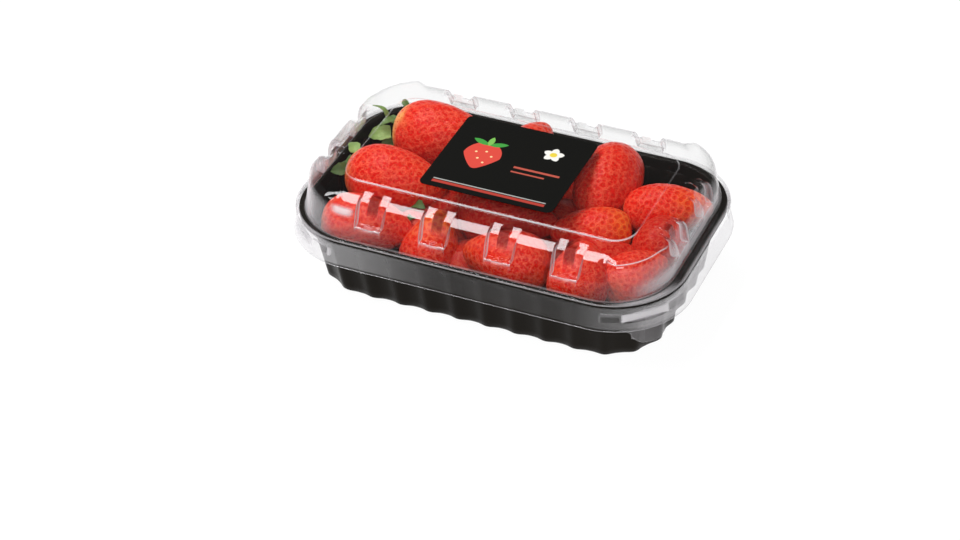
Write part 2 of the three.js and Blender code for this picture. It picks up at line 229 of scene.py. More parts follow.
# %% Lay the floor
bpy.ops.object.select_all(action="DESELECT")
bpy.ops.mesh.primitive_plane_add(size=8.0, location=(0, 0, -0.5 * MM))
floor = bpy.context.object
floor.name = "floor"
paint = Recipe("floor_white")
floor.data.materials.append(paint.finish(paint.surface({
    "Base Color": (0.10, 0.10, 0.10, 1),
    "Roughness": 0.9,
    "Specular IOR Level": 0.0,
    "Emission Color": (1, 1, 1, 1),
    "Emission Strength": 0.96,
})))
floor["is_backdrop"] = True
print("floor:", [round(side, 2) for side in floor.dimensions])

# %% [markdown]
# ## Outlines and rolled sheets
# Tray and lid are drawn from flat sheet over a mould, so seen from above each
# level is a rectangle with round corners. A flat grid has the same count of
# points in every row. Here it is rolled round those outlines: a column stands
# at one place on the outline, and a row lies at one level. The place is
# a number from 0 to 12. In each quarter 0 to 1 is half an end, 1 to 2 the
# corner and 2 to 3 half a side, so a feature has the same place at every
# level. Pushing a cube about by hand would not give flutes and notches that
# line up so well.

# %% Round rectangles
# Outlines: half length, half width and corner radius.
BASE = (83.0, 48.3, 28.0)
MOUTH = (88.0, 55.0, 31.0)
FLANGE = (91.7, 57.8, 33.0)
SKIRT_FOOT = (95.0, 60.0, 36.0)
SHELF = (93.4, 59.2, 34.5)
DOME = (88.0, 56.0, 29.5)
PANEL = (70.0, 35.6, 11.0)


def blend(first, second, share):
    return tuple(a + (b - a) * share for a, b in zip(first, second))


def smooth_step(value):
    """From 0 to 1 without a corner at either end."""
    value = min(max(value, 0.0), 1.0)
    return value * value * (3 - 2 * value)


def in_quarter(place):
    """The quarter of a place, 0 to 3, and the place within it: 0 mid end, 3 mid side."""
    quarter = int(place // 3) % 4
    local = place % 3
    return quarter, 3 - local if quarter % 2 else local


def point_on(outline, place, inset, z):
    """A point on an outline drawn in by an inset, at a height."""
    half_x, half_y, corner = outline
    quarter, local = in_quarter(place)
    angle = (min(max(local, 1), 2) - 1) * math.pi / 2
    reach = corner - inset
    x = (half_x - corner) * min(1, 3 - local) + reach * math.cos(angle)
    y = (half_y - corner) * min(1, local) + reach * math.sin(angle)
    sign_x = 1 if quarter in (0, 3) else -1
    sign_y = 1 if quarter < 2 else -1
    return Vector((sign_x * x, sign_y * y, z))


print("the lid's foot:", [2 * half for half in SKIRT_FOOT[:2]], "mm")

# %% Roll a grid
def shaped_grid(name, columns, rows, point_at):
    """A grid whose points go to point_at(column, row)."""
    bpy.ops.object.select_all(action="DESELECT")
    bpy.ops.mesh.primitive_grid_add(x_subdivisions=columns, y_subdivisions=rows, size=1)
    grid = bpy.context.object
    grid.name = name
    for index, corner in enumerate(grid.data.vertices):
        row, column = divmod(index, columns + 1)
        corner.co = point_at(column, row) * MM
    return grid


def mark_points(piece, name, values):
    """Keeps a number for each point of a piece, which its material can read."""
    layer = piece.data.attributes.new(name, "FLOAT", "POINT")
    layer.data.foreach_set("value", values)


def rolled_sheet(name, columns, rows, point_at, marks=()):
    """A grid closed into a ring. Each mark is a name and a function like point_at."""
    sheet = shaped_grid(name, columns, rows - 1, lambda column, row: point_at(column % columns, row))
    for mark, value_at in marks:
        mark_points(sheet, mark, [value_at(column % columns, row)
                                  for row in range(rows) for column in range(columns + 1)])
    bpy.ops.object.mode_set(mode="EDIT")
    bpy.ops.mesh.select_all(action="SELECT")
    bpy.ops.mesh.remove_doubles(threshold=0.01 * MM)
    bpy.ops.object.mode_set(mode="OBJECT")
    return sheet


# %% Close, thicken, join and hand over
def close_end(sheet, z):
    """Fills the open rim of a sheet that lies at a level."""
    edges_used = {}
    for face in sheet.data.polygons:
        for key in face.edge_keys:
            edges_used[key] = edges_used.get(key, 0) + 1
    for part in (sheet.data.vertices, sheet.data.edges, sheet.data.polygons):
        part.foreach_set("select", [False] * len(part))
    for edge in sheet.data.edges:
        ends = [sheet.data.vertices[i].co for i in edge.vertices]
        level = all(abs(end.z - z * MM) < 0.3 * MM for end in ends)
        if edges_used[edge.key] == 1 and level:
            edge.select = True
    bpy.ops.object.mode_set(mode="EDIT")
    bpy.ops.mesh.select_mode(type="EDGE")
    bpy.ops.mesh.edge_face_add()
    bpy.ops.mesh.normals_make_consistent(inside=False)
    bpy.ops.object.mode_set(mode="OBJECT")
    print(sheet.name, "closed at", z, "mm")


def give_wall(sheet, thickness):
    """Thickens a sheet away from its outer side."""
    wall = sheet.modifiers.new("wall", "SOLIDIFY")
    wall.thickness = thickness * MM
    wall.offset = -1.0
    bpy.ops.object.modifier_apply(modifier=wall.name)


def join_pieces(pieces, name):
    """Makes one piece of several."""
    bpy.ops.object.select_all(action="DESELECT")
    for piece in pieces:
        piece.select_set(True)
    bpy.context.view_layer.objects.active = pieces[0]
    bpy.ops.object.join()
    pieces[0].name = name
    return pieces[0]


def declare(piece, node):
    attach(piece, "root")
    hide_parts(node)
    triangles = sum(len(face.vertices) - 2 for face in piece.data.polygons)
    size = [round(side / MM, 1) for side in piece.dimensions]
    print(f"{piece.name}: {triangles} triangles, {size} mm")

# %% [markdown]
# ## The tray
# The wall leans out from a round heel to a flat flange with a short lip turned
# down. Hollow flutes run up it between blunt ridges and end in round tops
# under the rim. They stiffen the thin sheet. The section below is the outer
# side of the sheet, from the raised middle of the floor out to the lip, and
# Solidify gives it its wall.

# %% Section of the tray
WALL = 0.6  # thickness
MOUTH_Z = 36.4  # where the leaning wall would meet the mouth's outline
FLUTES = 34
FLUTE_DEPTH = 1.5
FLUTE_TOP, FLUTE_ROUND = 26, 5.5  # the round top starts here and is this high
ACROSS = [0, 0.03, 0.08, 0.15, 0.24, 0.33, 0.42, 0.5, 0.58, 0.67, 0.76, 0.85, 0.92, 0.97]

# Rows: how far from the base's outline to the flange's (0, 1 at the mouth, 2),
# inset, height and share of the flutes' depth.
floor_rows = [
    (0, 12.5, 0.8, 0), (0, 11, 0.75, 0), (0, 10, 0.1, 0), (0, 9, 0, 0),
    (0, 3.2, 0, 0.2), (0, 2.2, 0.05, 0.45), (0, 1.2, 0.4, 0.75), (0, 0.4, 1.1, 0.95),
]
wall_rows = [
    (z / MOUTH_Z, 0, z, math.sqrt(max(0, 1 - (max(0, z - FLUTE_TOP) / FLUTE_ROUND) ** 2)))
    for z in (2, 5, 9, 13, 17, 21, 24, 26, 27.2, 28.4, 29.4, 30.2, 30.8, 31.2, 31.5, 32.2)
]
rim_rows = [
    (1, 0, 34.6, 0), (1, -0.03, 35.2, 0), (1, -0.2, 35.6, 0), (1.15, -0.1, 35.8, 0), (1.5, 0, 35.8, 0),
    (1.8, 0.3, 35.8, 0), (2, 0.9, 35.78, 0), (2, 0.67, 35.65, 0), (2, 0.6, 35.3, 0), (2, 0.6, 33.8, 0),
]
tray_rows = floor_rows + wall_rows + rim_rows
print(len(tray_rows), "rows and", FLUTES * len(ACROSS), "columns")


def place_along(outline, fraction):
    """The place at a fraction of an outline's length."""
    half_x, half_y, corner = outline
    end, bend, side = half_y - corner, corner * math.pi / 2, half_x - corner
    quarter = int(4 * fraction + 1e-9)
    share = 4 * fraction - quarter
    distance = (1 - share if quarter % 2 else share) * (end + bend + side)
    if distance <= end:
        local = distance / end
    elif distance <= end + bend:
        local = 1 + (distance - end) / bend
    else:
        local = 2 + (distance - end - bend) / side
    return 3 * quarter + (3 - local if quarter % 2 else local)


def tray_point(column, row):
    """A flute's section is a flat valley between blunt ridges."""
    flute, step = divmod(column, len(ACROSS))
    place = place_along(BASE, (flute + ACROSS[step]) / FLUTES)
    depth = FLUTE_DEPTH * (1 - abs(math.cos(math.pi * ACROSS[step])) ** 3)
    level, inset, z, fluted = tray_rows[row]
    outline = blend(BASE, MOUTH, level) if level <= 1 else blend(MOUTH, FLANGE, level - 1)
    return point_on(outline, place, inset + depth * fluted, z)


# %% Roll the tray
tray = rolled_sheet("tray_moulded", FLUTES * len(ACROSS), len(tray_rows), tray_point)
close_end(tray, floor_rows[0][2])
give_wall(tray, WALL)
bpy.ops.object.shade_smooth_by_angle(angle=math.radians(32))
declare(tray, "tray")

# %% [markdown]
# ## The lid
# The lid is one clear sheet. A skirt hugs the tray's lip, a narrow shelf lies
# on its flange, and a dome with twelve notches rises from the shelf to a flat
# top with a raised panel. A notch is a recess with a ledge at its foot and
# a groove up its middle. Each column knows its share of a notch, and blends
# the section of plain wall with the section through a notch.

# %% Sections of the dome
FILM = 0.3  # thickness
SKIRT_Z = 24.2
SHELF_Z = 37.3
TOP_Z = 54.5
PANEL_Z = 55.4
# Points up the wall: inset from the dome's outline, and height.
PLAIN = {
    "corner": [(0, 37.3), (1.2, 44), (2, 49), (3, 52.4), (4.4, 53.9), (6.5, 54.5)],
    "side": [(0, 37.3), (1.5, 43.6), (2.5, 46.5), (5.2, 51), (8.2, 53.6), (11.5, 54.5)],
    "end": [(0, 37.3), (0, 43.6), (0.1, 47.5), (1.2, 51.4), (3, 53.7), (5.6, 54.5)],
}
NOTCHED = {
    "side": [(0, 37.3), (2, 43.8), (5.6, 44.1), (9.3, 51.8), (12.3, 53.4), (15.3, 54.5)],
    "end": [(0, 37.3), (0.4, 43.8), (4, 44.1), (5, 51), (6.8, 52.7), (8.8, 54.5)],
}
GROOVED = {
    "side": [(0, 37.3), (2, 43.8), (5.6, 44.1), (8.6, 50), (10.6, 54.1), (16.6, 54.5)],
    "end": [(0, 37.3), (0.4, 43.8), (4, 44.1), (5.4, 50), (6.6, 54.1), (11.4, 54.5)],
}
HALF_WIDTHS = [6.2, 6.2, 6.4, 6.8, 7, 7.2]  # of a notch, at each of those points
print("the dome rises", round(PANEL_Z - SHELF_Z, 1), "mm")


def along_curve(points, t):
    """A smooth curve through points, where t counts them."""
    index = min(int(t), len(points) - 2)
    u = t - index
    before = Vector(points[max(index - 1, 0)])
    start = Vector(points[index])
    stop = Vector(points[index + 1])
    after = Vector(points[min(index + 2, len(points) - 1)])
    return 0.5 * (2 * start + (stop - before) * u
                  + (2 * before - 5 * start + 4 * stop - after) * u ** 2
                  + (3 * start - before - 3 * stop + after) * u ** 3)


def along_bends(points, t):
    """The same with straight runs and sharp bends."""
    index = min(int(t), len(points) - 2)
    return Vector(points[index]).lerp(Vector(points[index + 1]), t - index)


# %% Columns of the lid
# A column holds a place, how the place moves with the notch's half width, its
# share of a notch and of the notch's groove. Distances along the outline are
# counted from the notch's edge in FLANK, and from its middle in INNER.
FLANK = [0.8, 0.3, 0.1, 0, -0.1, -0.2, -0.3, -0.4, -0.5, -0.8]
INNER = [4.2, 2.8, 2.6, 2.45, 2.3, 2.15, 1.1, 0]
FLANK_WIDTH = 0.45
GROOVE_HALF, GROOVE_FLANK = 2.65, 0.4
END_NOTCH = 15.6  # from the middle of the end
SIDE_NOTCHES = (46.8, 15.6)  # from the middle of the side


def notch_columns(middle, length_a_place, origin, sign):
    """Columns across one notch, in order of growing distance."""
    columns = []
    for side in (-1, 1):
        flank = [(middle + side * d, side, smooth_step(-d / FLANK_WIDTH), 0) for d in FLANK]
        inner = [(middle + side * d, 0, 1, smooth_step((GROOVE_HALF - d) / GROOVE_FLANK)) for d in INNER]
        half = flank + inner if side < 0 else inner[:-1][::-1] + flank[::-1]
        columns += half
    return [(origin + sign * distance / length_a_place, sign * grow / length_a_place, notch, groove)
            for distance, grow, notch, groove in columns]


def quarter_columns():
    """Columns from the middle of an end to the middle of a side."""
    end_length = DOME[1] - DOME[2]
    side_length = DOME[0] - DOME[2]
    columns = [(0, 0, 0, 0), (0.15, 0, 0, 0)]
    columns += notch_columns(END_NOTCH, end_length, 0, 1)
    bends = [0, 3, 6, 8.6, 9.4, 10.2, 11, 12, 15, 18, 21, 24.2, 25.2, 26, 27, 28, 31, 34, 38, 42, 45]
    bends += [90 - bend for bend in bends[:-1]][::-1]
    columns += [(1 + bend / 90, 0, 0, 0) for bend in bends]
    columns += [(3 - x / side_length, 0, 0, 0) for x in (57.5, 56)]
    columns += notch_columns(SIDE_NOTCHES[0], side_length, 3, -1)[::-1]
    columns += [(3 - x / side_length, 0, 0, 0) for x in (36, 31.2, 26.4)]
    columns += notch_columns(SIDE_NOTCHES[1], side_length, 3, -1)[::-1]
    columns += [(3 - x / side_length, 0, 0, 0) for x in (6.5, 3, 0)]
    return columns


first_quarter = quarter_columns()
mirrored = [(3 - place, -grow, notch, groove) for place, grow, notch, groove in first_quarter][::-1]
lid_columns = []
for quarter in range(4):
    own = mirrored if quarter % 2 else first_quarter
    lid_columns += [(place + 3 * quarter, *rest) for place, *rest in own[:-1]]
places = [place + grow * HALF_WIDTHS[0] for place, grow, notch, groove in lid_columns]
print(len(lid_columns), "columns, in order:", places == sorted(places))

# %% Rows of the lid
skirt_rows = [  # height and inset
    (24.2, 0), (24.35, -0.05), (24.6, 0.05), (25, 0.35), (25.5, 0.5), (26.6, 0.5), (27.7, 0.5),
    (28.3, 0.5), (28.6, 0.5), (28.85, 0.5), (29.1, 0.5), (30.5, 0.5), (31.9, 0.5), (32.2, 0.5),
    (32.45, 0.5), (32.7, 0.5), (34, 0.48), (35.6, 0.3), (36.4, 0.12), (36.8, 0.15),
    (37.1, 0.32), (37.26, 0.6), (37.3, 0.95),
]
dome_steps = [  # how far up the sections, counted in their points
    0.1, 0.3, 0.6, 0.8, 0.92, 1.0, 1.1, 1.3, 1.6, 1.8, 1.9, 2.0, 2.1, 2.25, 2.5, 2.75, 2.9,
    3.0, 3.15, 3.35, 3.6, 3.8, 3.92, 4.0, 4.1, 4.25, 4.5, 4.7, 4.86, 4.95, 5.0,
]
panel_rows = [  # inset and height
    (0, 54.5), (0.1, 54.58), (0.25, 54.88), (0.5, 55.14), (0.85, 55.32), (1.3, 55.4), (3, 55.4),
]
lid_rows = [("skirt", *row) for row in skirt_rows]
lid_rows += [("shelf", share) for share in (0.35, 0.65, 0.85)]
lid_rows += [("foot", lean) for lean in (0.0, 0.35, 0.7)]
lid_rows += [("dome", t) for t in dome_steps]
lid_rows += [("top", share) for share in (0.02, 0.07, 0.3, 0.7, 0.95)]
lid_rows += [("step", *row) for row in panel_rows]
print(len(lid_rows), "rows")

# %% Press in the latches
LATCH_LOW, LATCH_HIGH = 28.3, 32.7
LATCH_FLAT, LATCH_END = 18.4, 35.4  # degrees from the corner's middle


def from_corner(place):
    """How many degrees a place lies from the middle of its corner."""
    return abs((place % 3 - 1.5) * 90)


def latch_depth(place, z):
    """How far the skirt is pressed in: flat across the corner, with a wedge beside the flat."""
    angle = from_corner(place)
    if angle >= 45:
        return 0.0
    below_top = smooth_step((LATCH_HIGH - z) / 0.6)
    if angle > LATCH_FLAT:
        window = smooth_step((LATCH_END - angle) / 1.6) * smooth_step((angle - LATCH_FLAT) / 1.6)
        wedge = min(max((z - 28.5) / 3.6, 0), 1)
        return 1.5 * window * wedge * below_top
    chord = math.cos(math.radians(LATCH_FLAT)) / math.cos(math.radians(angle))
    return SKIRT_FOOT[2] * (1 - chord) * smooth_step((z - LATCH_LOW) / 0.6) * below_top


# %% Find each point of the lid
FOOT_ROUND = 0.7  # radius where the dome rises from the shelf


def dome_point(column, t):
    """Place, inset and height at a step up the wall."""
    place, grow, notch, groove = lid_columns[column]
    widths = [(width, 0) for width in HALF_WIDTHS]
    place = place + grow * along_curve(widths, t)[0]
    bend = min(max(in_quarter(place)[1] - 1, 0), 1)  # from 0 at the end to 1 at the side
    kind = "end" if bend < 0.5 else "side"
    round_share = smooth_step(bend * 5) if bend < 0.5 else smooth_step((0.87 - bend) * 6)
    plain = along_curve(PLAIN[kind], t).lerp(along_curve(PLAIN["corner"], t), round_share)
    sunk = along_curve(NOTCHED[kind], t).lerp(along_bends(GROOVED[kind], t), groove)
    inset, z = plain.lerp(sunk, notch)
    return place, inset, z


def lid_point(column, row):
    """A column's point at a row, each kind of row with its own facts."""
    kind, *facts = lid_rows[row]
    place, grow = lid_columns[column][:2]
    steady = place + grow * HALF_WIDTHS[0]
    if kind == "skirt":
        z, inset = facts
        outline = blend(SKIRT_FOOT, SHELF, (z - SKIRT_Z) / (SHELF_Z - SKIRT_Z))
        return point_on(outline, steady, inset + latch_depth(steady, z), z)
    if kind == "shelf":
        edge = point_on(SHELF, steady, skirt_rows[-1][1], SHELF_Z)
        return edge.lerp(point_on(DOME, steady, -FOOT_ROUND, SHELF_Z), facts[0])
    if kind == "foot":
        lean = facts[0] * math.pi / 2
        z = SHELF_Z + FOOT_ROUND * (1 - math.cos(lean))
        return point_on(DOME, steady, FOOT_ROUND * (math.sin(lean) - 1), z)
    if kind == "dome":
        place, inset, z = dome_point(column, facts[0])
        return point_on(DOME, place, inset, max(z, SHELF_Z + FOOT_ROUND + 0.05))
    if kind == "top":
        place, inset = dome_point(column, 5.0)[:2]
        rim = point_on(DOME, place, inset, TOP_Z)
        return rim.lerp(point_on(PANEL, place, 0, TOP_Z), facts[0])
    place = dome_point(column, 5.0)[0]
    return point_on(PANEL, place, facts[0], facts[1])


# %% [markdown]
# ## Painted light and shade on the film
# Modelling each ripple of real film would take millions of faces. So the sheet
# carries three numbers for each point, set by place: sheen, haze and shade.
# Sheen is the share it mirrors head on: the film's own small share, raised or
# lowered by place as painted reflection and painted highlight lines. Haze mixes
# in a milky white that paints highlight lines, light patches and a glare
# crescent. Shade paints the bent tops of grooves and flanks greyer, as painted
# shade. The material mixes its shaders by them. Places are in millimetres, and
# t counts up the wall: 1 is the lip of a notch's ledge, 4 the shoulder.

# %% How much each spot mirrors, with painted reflection
def ramp(value, start, stop):
    return smooth_step((value - start) / (stop - start))


def hump(value, middle, width):
    """1 at the middle, and nearly 0 two widths away."""
    return math.exp(-((value - middle) / width) ** 2)


def latch_part(place, z):
    """What a point of the skirt is on: a latch's flat, its wedge, or nothing."""
    angle = from_corner(place)
    if angle > LATCH_END or not LATCH_LOW + 0.4 < z < LATCH_HIGH - 0.2:
        return None
    return "flat" if angle < LATCH_FLAT + 0.5 else "wedge"


def painted_sheen_at(column, row):
    """The share that the sheet mirrors head on, with painted reflection and highlight lines set by place.
    """
    kind, *facts = lid_rows[row]
    place, grow, notch, groove = lid_columns[column]
    x, y, z = lid_point(column, row)
    if kind == "skirt":
        part = latch_part(place, z)
        if part:
            # Painted reflection: the latch's flat mirrors far more than the rest of the skirt.
            return {"flat": 0.27, "wedge": 0.08}[part]
        if z > 36:
            return 0.0
        # Painted reflection: the skirt mirrors much at the left end, little in the middle and more
        # towards the right; the rolled foot gets a painted highlight line.
        rolled_edge = 0.03 if z < 24.5 else 0.0
        return 0.014 + 0.13 * ramp(-x, 5, 80) + 0.08 * ramp(x, 45, 90) + rolled_edge
    if kind == "dome":
        t = facts[0]
        # Painted reflection: the low wall mirrors more at the front left and right, the front shoulders
        # more than the back ones, and the notches' flanks and lips get painted highlight lines.
        wall = 0.005 + (0.035 * ramp(-x, 25, 60) + 0.03 * ramp(x, 50, 75)) * ramp(-y, -40, -10)
        shoulder = 0.044 if y < 0 else 0.02
        flank = 4 * notch * (1 - notch) * ramp(t, 0.4, 1) * ramp(-t, -4.4, -3.6)
        lip = notch * hump(t, 0.95, 0.12)
        return wall + (shoulder - wall) * ramp(t, 2, 2.6) + 0.1 * max(flank, lip)
    return {"shelf": 0.02, "foot": 0.0, "top": 0.015, "step": 0.015}[kind]


# %% Painted shade in the bends
def painted_shade_at(column, row):
    """Painted shade on the front half: the bent tops of grooves and flanks look greyer."""
    kind, *facts = lid_rows[row]
    notch, groove = lid_columns[column][2:]
    if kind != "dome" or lid_point(column, row).y > 0:
        return 0.0
    bent = max(groove, 3 * notch * (1 - notch))
    return bent * ramp(facts[0], 2.4, 3.0) * ramp(-facts[0], -4.7, -4.3)


# %% How much painted milky light each spot shows
def painted_end_haze(x, y, z):
    """Painted milky reflection at both ends of the dome."""
    return 0.2 * ramp(abs(x), 74, 89) * ramp(z, 38, 40) * ramp(-z, -54, -44) * ramp(-y, -40, -10)


def painted_skirt_haze(place, x, y, z):
    # Painted light on the skirt: the latch's flat and an outline at its end, highlight lines at the top
    # bend and the foot, milky reflection at both ends and near the left corner.
    if latch_part(place, z) == "flat":
        return 0.35
    latch_edge_highlight = abs(from_corner(place) - LATCH_END) < 1.2
    if latch_edge_highlight and LATCH_LOW + 0.1 < z < LATCH_HIGH - 0.1 and x < 0:
        return 0.4
    bend = 0.2 if z > 37.2 or z < 24.5 else 0.0
    thin = (0.09 + 0.06 * (x > 0)) * ramp(abs(x), 74, 89) * ramp(-z, -36, -34)
    near_left = ramp(-x, 62, 74) * ramp(-y, 15, 30) * 0.25
    return max(bend, thin, near_left)


def painted_dome_haze(t, notch, x, y, z):
    """Painted light on the dome: milky reflection at the ends, highlight lines along the notches' flanks
    and lips and round one corner's shoulder, and a glare crescent at another corner.
    """
    milky = painted_end_haze(x, y, z)
    if x > 0:
        milky = milky * 0.6 + 0.25 * ramp(x, 74, 89) * ramp(z, 38, 39) * ramp(-z, -46, -42)
    else:
        milky += 0.12 * ramp(-x, 62, 72) * ramp(-y, 20, 40) * ramp(-t, -3, -2)
        milky += 0.2 * ramp(-x, 72, 82) * ramp(-y, 5, 25) * ramp(-t, -3.2, -2.2)
    edges = abs(2 * notch - 1) * min(1, 30 * notch * (1 - notch))
    flank = edges * ramp(t, 0.9, 1.1) * ramp(-t, -4.2, -3.6) * (1 - 0.4 * (y > 0))
    lip = notch * hump(t, 1, 0.07)
    # Painted highlight line round the front right corner's shoulder, and a painted glare crescent at the
    # front left corner.
    painted_shoulder_line = hump(t, 3.95, 0.12) * ramp(x, 62, 67) * ramp(-y, 26, 32)
    painted_glare = hump(t, 2.65, 0.27) * ramp(x, -67, -62) * ramp(-x, 53.5, 57.5) * (y < 0)
    return max(milky, 0.6 * flank, 0.35 * lip, 0.45 * painted_shoulder_line, 0.7 * painted_glare)


def painted_haze_at(column, row):
    """How much painted milky light the sheet shows."""
    kind, *facts = lid_rows[row]
    place, grow, notch, groove = lid_columns[column]
    x, y, z = lid_point(column, row)
    # Painted reflection: the shelf and foot look grey near the front right corner.
    near_right = ramp(x, 66, 80) * ramp(-y, 28, 42)
    if kind == "skirt":
        return painted_skirt_haze(place, x, y, z)
    if kind == "shelf":
        return 0.3 * near_right
    if kind == "foot":
        return (0.15 + 0.15 * near_right) * facts[0]
    if kind == "dome":
        return painted_dome_haze(facts[0], notch, x, y, z)
    # Painted highlight line along the panel's raised front edge.
    if kind == "step" and 0.1 < facts[0] < 0.6:
        return 0.04 + 0.38 * ramp(-y, 22, 30) * ramp(x, -66, -58)
    return painted_end_haze(x, y, z)


# %% Roll the lid
lid = rolled_sheet("lid_clear", len(lid_columns), len(lid_rows), lid_point,
                   [("painted_sheen", painted_sheen_at), ("painted_haze", painted_haze_at), ("shade", painted_shade_at)])
close_end(lid, PANEL_Z)
give_wall(lid, FILM)

# %% [markdown]
# ## The pull tab
# A rounded tongue hangs out from the skirt's foot at one corner. It is the
# same sheet as the lid, so it is rolled the same way, thickened and joined to
# the lid.

# %% Hang the tab
TAB_COLUMNS, TAB_ROWS = 20, 10
TAB_REACH = 6.6
TAB_HEADING, TAB_DROOP = math.radians(-46), math.radians(36)
TAB_NECK = 0.35  # the share of its reach in which it narrows


def tab_point(column, row):
    """Out and down from the skirt's foot, narrowing to a round end."""
    across = 2 * column / TAB_COLUMNS - 1
    out = row / TAB_ROWS
    half = 7.5 + 4.5 * max(0, 1 - out / TAB_NECK) ** 2
    beyond = max(out - TAB_NECK, 0) / (1 - TAB_NECK)
    reach = TAB_REACH * out * math.sqrt(max(0.0, 1 - beyond ** 2 * abs(across) ** 3))
    centre = Vector((SKIRT_FOOT[0] - SKIRT_FOOT[2], SKIRT_FOOT[2] - SKIRT_FOOT[1], 0))
    heading = TAB_HEADING + across * half / SKIRT_FOOT[2]
    radius = SKIRT_FOOT[2] - 0.7 + reach * math.cos(TAB_DROOP) * 0.98
    z = SKIRT_Z + 0.5 - reach * math.sin(TAB_DROOP)
    return centre + Vector((radius * math.cos(heading), radius * math.sin(heading), z))


tab = shaped_grid("pull_tab", TAB_COLUMNS, TAB_ROWS, tab_point)
for name, value in (("painted_sheen", 0.05), ("painted_haze", 0.07)):
    mark_points(tab, name, [value] * len(tab.data.vertices))
give_wall(tab, FILM)
join_pieces([lid, tab], "lid_clear")
bpy.ops.object.shade_smooth_by_angle(angle=math.radians(38))
declare(lid, "lid")

# %% [markdown]
# ## The strawberries
# A strawberry is a blunt cone, full at the stalk and drawn out to a tip, with
# seeds that sit in small dimples a few millimetres apart. A ball's rings run
# from pole to pole like a berry's, so each fruit starts as a ball. Its points
# are moved out to the berry's section, pressed in round each seed, and laid
# where the heap has it. The distance to the nearest seed stays on the mesh as
# an attribute, because the skin's colour follows it.

# %% The heap, one line for each fruit
# Middle, heading and lift of the tip in degrees, length, radius, fullness of
# the stalk end, pale shoulder (below 0 a deeper red all over, partly painted
# shade where a berry lies in shadow), orange tip (below 0 an orange shoulder).
BACK_FRUIT = [
    ((-47.5, 34, 37), 5, 0, 54, 15.7, 0.4, 1.2, 0.2),
    ((-8, 33, 39), 80, 10, 40, 13, 0.3, 0.2, 0.3),
    ((35, 27, 37), -92, -4, 46, 15.3, 0.12, -0.08, 0.0),
    ((66, 22, 34), 12, 9, 42, 12.3, 0.2, 0.2, 1.0),
]
MIDDLE_FRUIT = [
    ((-56, -4, 35.5), 4, 0, 50, 15.3, 0.3, 0.4, 0.2),
    ((2, -9, 33), 8, 0, 48, 15, 0.4, -0.5, 0.0),
    ((40, -4, 32.5), 200, -3, 38, 11.5, 0.25, 0.0, -1.3),
    ((71, 3, 30), 100, 5, 32, 13.3, 0.3, -0.3, 0.0),
    ((50, -14, 24), 20, 0, 40, 14, 0.3, -0.25, 0.0),
]
FRONT_FRUIT = [
    ((-56.5, -35, 31), 10, 0, 43, 14.2, 0.3, 0.3, 0.0),
    ((-25, -34, 28), 80, 58, 33, 13.5, 0.4, 0.1, 1.6),
    ((12, -35.5, 31), 178, 0, 42, 14.3, 0.3, 0.1, 0.3),
    ((46, -33, 30), 100, 25, 34, 14, 0.3, 0.1, 0.0),
    ((69, -22, 28), 60, 5, 34, 13, 0.3, 0.1, 0.3),
]
LOW_FRUIT = [
    ((-30, 8, 22), 60, 0, 42, 13.5, 0.3, 0, 0),
    ((-32, -18, 19), 20, 0, 42, 13.5, 0.3, 0, 0),
    ((20, 10, 21), 150, 0, 42, 13.5, 0.3, 0, 0),
    ((30, -22, 18), -30, 0, 42, 13.5, 0.3, 0, 0),
    ((68, 0, 17), 90, 0, 42, 13, 0.3, 0, 0),
    ((-66, 12, 17), 90, 0, 44, 13, 0.3, 0, 0),
    ((-5, -28, 17), 40, 0, 40, 13, 0.3, 0, 0),
    ((14, 30, 17), 10, 0, 42, 13, 0.3, 0, 0),
    ((-30, 32, 17), 170, 0, 42, 13, 0.3, 0, 0),
]
print(len(BACK_FRUIT + MIDDLE_FRUIT + FRONT_FRUIT), "berries show,", len(LOW_FRUIT), "lie below")

# %% The section of a berry and the places of its seeds
SEED_GAP = 3.2  # from seed to seed
GOLDEN_ANGLE = 2.399963
SKIN_RINGS = 240  # into which a berry is cut to measure its skin


def berry_point(length, radius, fullness, turn, share):
    """A point of a berry's skin; share runs from the stalk at 0 to the tip at 1."""
    angle = math.pi * share
    swell = (1 + fullness * math.cos(angle)) / (1 + 0.16 * fullness)
    out = radius * math.sin(angle) * swell
    hollow = 2.2 * max(0.0, 1 - angle / 0.55) ** 2
    return Vector((out * math.cos(turn), out * math.sin(turn), hollow - math.cos(angle) * length / 2))


def seed_spots(length, radius, fullness):
    """Even places for the seeds: equal skin for each, turned by the golden angle."""
    rings = [berry_point(length, radius, fullness, 0, i / SKIN_RINGS) for i in range(SKIN_RINGS + 1)]
    skin = [0.0]
    for low, high in zip(rings, rings[1:]):
        skin.append(skin[-1] + math.pi * (low.x + high.x) * (high - low).length)
    count = int(skin[-1] / (0.866 * SEED_GAP ** 2))
    spots, ring = [], 0
    for number in range(count):
        wanted = skin[-1] * (number + 0.5) / count
        while skin[ring + 1] < wanted:
            ring += 1
        within = (wanted - skin[ring]) / (skin[ring + 1] - skin[ring])
        share = (ring + within) / SKIN_RINGS
        if 0.09 < share < 0.985:
            turn = number * GOLDEN_ANGLE + 0.05 * math.sin(number * 3.7)
            spots.append((share + 0.008 * math.sin(number * 5.1), turn))
    return spots


def berry_frame(at, heading, lift):
    """Turns a berry that stands on its stalk end to lie with its tip where it should."""
    heading, lift = math.radians(heading), math.radians(lift)
    tip = Vector((math.cos(lift) * math.cos(heading), math.cos(lift) * math.sin(heading), math.sin(lift)))
    turn = Vector((0, 0, 1)).rotation_difference(tip)
    return Matrix.Translation(at) @ turn.to_matrix().to_4x4()


# %% The skin of a berry
DIMPLE_DEPTH = 0.42
DIMPLE_REACH = 1.65  # from the seed to the dimple's rim
SEED_SINK = 0.3  # below the skin
seed_places = []  # for the seeds later on: place, way out, way to the tip


